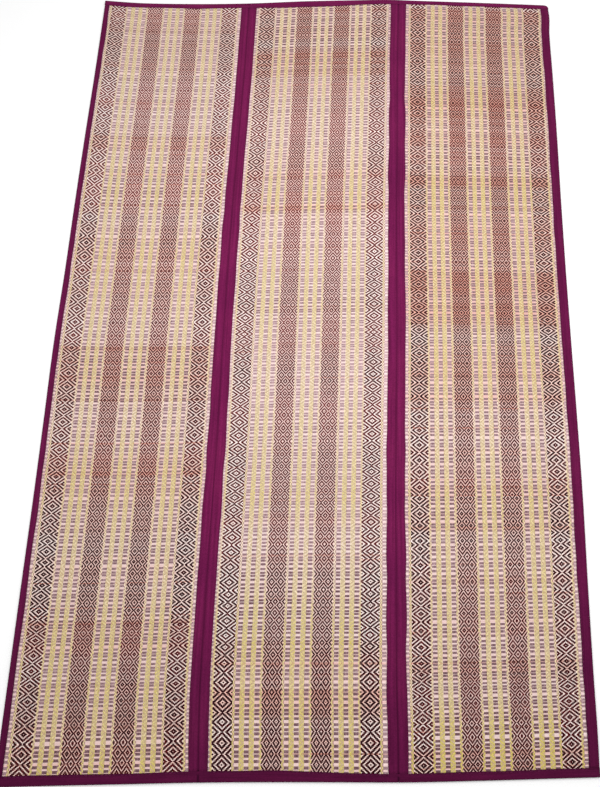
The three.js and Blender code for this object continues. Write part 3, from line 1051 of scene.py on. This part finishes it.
def end_strip(name, node, x, width, cut, outer, inward, shade):
    """An end binding: a bell-shaped crease on each fold line, and the lip raised flush beside it."""
    from_fold = np.abs(np.abs(x) - FOLD_X)
    crease = np.exp(-((from_fold / CREASE_WIDTH) ** 2))
    sewn_over = np.clip((JOIN_HALF + FLUSH_EASE - from_fold) / FLUSH_EASE, 0, 1)[:, None]
    profile = binding_profile(width, puff_wander(x) - CREASE_DEPTH * crease)
    lip = profile[:, 1:LIP_POINTS, 1]
    profile[:, 1:LIP_POINTS, 1] = lip + (FLUSH_HEIGHT - lip) * sewn_over
    ruled_x = np.broadcast_to(x[:, None], profile.shape[:2])
    # Painted shade: a dark crease on each fold line, none on the lip where it is sewn flush, and the given
    # shade over the whole binding.
    tones = BINDING_PAINTED_SHADE + CREASE_SHADE * crease[:, None]
    tones[:, :LIP_POINTS] *= 1 - sewn_over
    tones += shade
    inwards = cut[:, None] + profile[:, :, 0] * (1 - cut / width)[:, None]
    return loft(name, placed(ruled_x, outer + inward * inwards, profile[:, :, 1]), tones, node)


beside_fold = np.array([CREASE_WIDTH, 2 * CREASE_WIDTH, JOIN_HALF, JOIN_HALF + FLUSH_EASE])
near_fold = np.concatenate([-beside_fold[::-1], [0.0], beside_fold])
fold_stations = np.concatenate([-FOLD_X + near_fold, FOLD_X + near_fold])
even_stations = np.linspace(-HALF_WIDTH, HALF_WIDTH, int(WIDTH / STATION_STEP))
foot_places = np.sort(np.concatenate([even_stations, fold_stations]))
corner_stations = HALF_WIDTH - CORNER_RADIUS * (1 - np.sin(CORNER_TURNS))
head_places = np.sort(np.concatenate([even_stations, fold_stations, corner_stations]))[::-1]
head_strip = end_strip(
    "head_binding", "binding_head", head_places,
    HALF_LENGTH - head_edge(head_places), corner_cut(head_places), HALF_LENGTH, -1.0, 0.0,
)
foot_strip = end_strip(
    "foot_binding", "binding_foot", foot_places,
    foot_edge(foot_places) + HALF_LENGTH, np.zeros_like(foot_places), -HALF_LENGTH, 1.0,
    FOOT_SHADE + SIDE_SHADE,
)

# %% [markdown]
# ## The sewing
# A row of machine stitches holds each strip, close to its inner edge. Dashes in the cloth's colour would be
# simpler, but real stitches stand up a little and catch the light. So each stitch is one of the same little
# pillows as the yarn floats, laid along the groove, and all stitches of the mat are one joined mesh.

# %% Stitches
STITCH_PITCH, STITCH_LENGTH, STITCH_WIDTH = 7.5, 5.2, 0.9
STITCH_LOW, STITCH_TOP, STITCH_RIDGE = 4.35, 4.85, 0.8
SEAM_INSET = 2.3
FOOT_CLEAR, HEAD_CLEAR, LEFT_CLEAR, RIGHT_CLEAR = 24.0, 22.0, 18.0, 24.0


def stitch_row(aside, start):
    """Stitches along y, each from its start."""
    stop = start + STITCH_LENGTH
    row = pillows(aside, start, stop, STITCH_WIDTH, STITCH_LOW, STITCH_TOP, STITCH_RIDGE)
    return row.reshape(-1, 3)


def seam_along(x_of_y):
    """Stitches on a long seam, whose ruled x is a function of y."""
    y = np.arange(-HALF_LENGTH + FOOT_CLEAR, HALF_LENGTH - HEAD_CLEAR, STITCH_PITCH)
    return stitch_row(x_of_y(y), y)


def seam_across(y_of_x):
    """Stitches on a cross seam, whose ruled y is a function of x: made along y and given a quarter turn."""
    x = np.arange(-HALF_WIDTH + LEFT_CLEAR, HALF_WIDTH - RIGHT_CLEAR, STITCH_PITCH)
    x = x[np.abs(np.abs(x + STITCH_LENGTH / 2) - FOLD_X) > JOIN_HALF + STITCH_LENGTH / 2]
    aside, along, up = stitch_row(np.zeros_like(x), x).T
    seam_y = np.repeat(y_of_x(x + STITCH_LENGTH / 2), PILLOW_POINTS)
    return np.column_stack([along, seam_y - aside, up])


def seam_beside(fold, wave, way):
    """The seam of a joining strip on one side of its fold line."""
    return seam_along(lambda y: fold + way * (JOIN_HALF + edge_wander[wave](y) - SEAM_INSET))


seams = [
    seam_along(lambda y: -HALF_WIDTH + LEFT_WIDTH + edge_wander["left"](y) - SEAM_INSET),
    seam_along(lambda y: HALF_WIDTH - RIGHT_WIDTH - edge_wander["right"](y) + SEAM_INSET),
    seam_beside(-FOLD_X, "fold_a", -1),
    seam_beside(-FOLD_X, "fold_a", 1),
    seam_beside(FOLD_X, "fold_b", -1),
    seam_beside(FOLD_X, "fold_b", 1),
    seam_across(lambda x: foot_edge(x) - SEAM_INSET),
    seam_across(lambda x: head_edge(x) + SEAM_INSET),
]
ruled = np.concatenate(seams)
stitch_count = len(ruled) // PILLOW_POINTS
stitch_tone = np.repeat(np.random.default_rng(9).random(stitch_count), PILLOW_POINTS)
maroon_thread = yarn_material("maroon_thread", screen(120, 36, 84), screen(70, 8, 46), 0.6)
stitches = make_piece(
    "seam_stitches", placed(*ruled.T), pillow_faces(stitch_count), maroon_thread,
    tone=stitch_tone,
)

# %% [markdown]
# ## Floor and light
# A plain pale floor and broad soft light show the colours truly. The sky lights everything evenly. A sun
# lamp would light both ends alike, so one wide lamp hangs over the mat instead, a little towards its head,
# and its light falls off towards the foot.

# %% Floor and light
FLOOR_RADIUS, FLOOR_CORNERS = 8000.0, 64
FLOOR_GREY = (0.9, 0.9, 0.9, 1.0)
FLOOR_DROP = 0.2
SKY_STRENGTH = 0.84

# The lamp's size and place are in metres, its power in watts.
LAMP_SIZE, LAMP_POWER, LAMP_PLACE = 1.2, 13.5, (0.15, 0.15, 1.25)


def pale_floor():
    """A wide disc under the mat, a fan of triangles round one middle point."""
    turn = 2 * np.pi * np.arange(FLOOR_CORNERS) / FLOOR_CORNERS
    rim = FLOOR_RADIUS * np.column_stack([np.cos(turn), np.sin(turn), np.zeros(FLOOR_CORNERS)])
    points = np.concatenate([np.zeros((1, 3)), rim]) * MILLIMETRE
    here = np.arange(1, FLOOR_CORNERS + 1)
    faces = np.column_stack([np.zeros_like(here), here, np.roll(here, -1)])
    mesh = bpy.data.meshes.new("floor")
    mesh.from_pydata(points.tolist(), [], faces.tolist())
    material, _, shader = start_material("pale_floor", roughness=0.9, specular=0.2)
    shader.inputs["Base Color"].default_value = FLOOR_GREY
    mesh.materials.append(material)
    floor = bpy.data.objects.new("floor", mesh)
    floor.location.z = -FLOOR_DROP * MILLIMETRE
    bpy.context.scene.collection.objects.link(floor)
    return floor


floor = pale_floor()
sky = bpy.data.worlds.new("soft_sky")
sky.use_nodes = True
sky.node_tree.nodes["Background"].inputs["Color"].default_value = WHITE
sky.node_tree.nodes["Background"].inputs["Strength"].default_value = SKY_STRENGTH
bpy.context.scene.world = sky
lamp = bpy.data.lights.new("wide_lamp", "AREA")
lamp.shape = "RECTANGLE"
lamp.size, lamp.size_y = LAMP_SIZE, LAMP_SIZE
lamp.energy = LAMP_POWER
lamp_object = bpy.data.objects.new("wide_lamp", lamp)
lamp_object.location = LAMP_PLACE
lamp_object.visible_camera = False
bpy.context.scene.collection.objects.link(lamp_object)
bpy.context.scene.view_settings.view_transform = "Standard"
print("floor and light set")

# %% [markdown]
# ## The cloth
# Each panel and each strip is a flexible sheet of cloth, nine in all.

print("nine sheets of cloth: three panels and six strips")
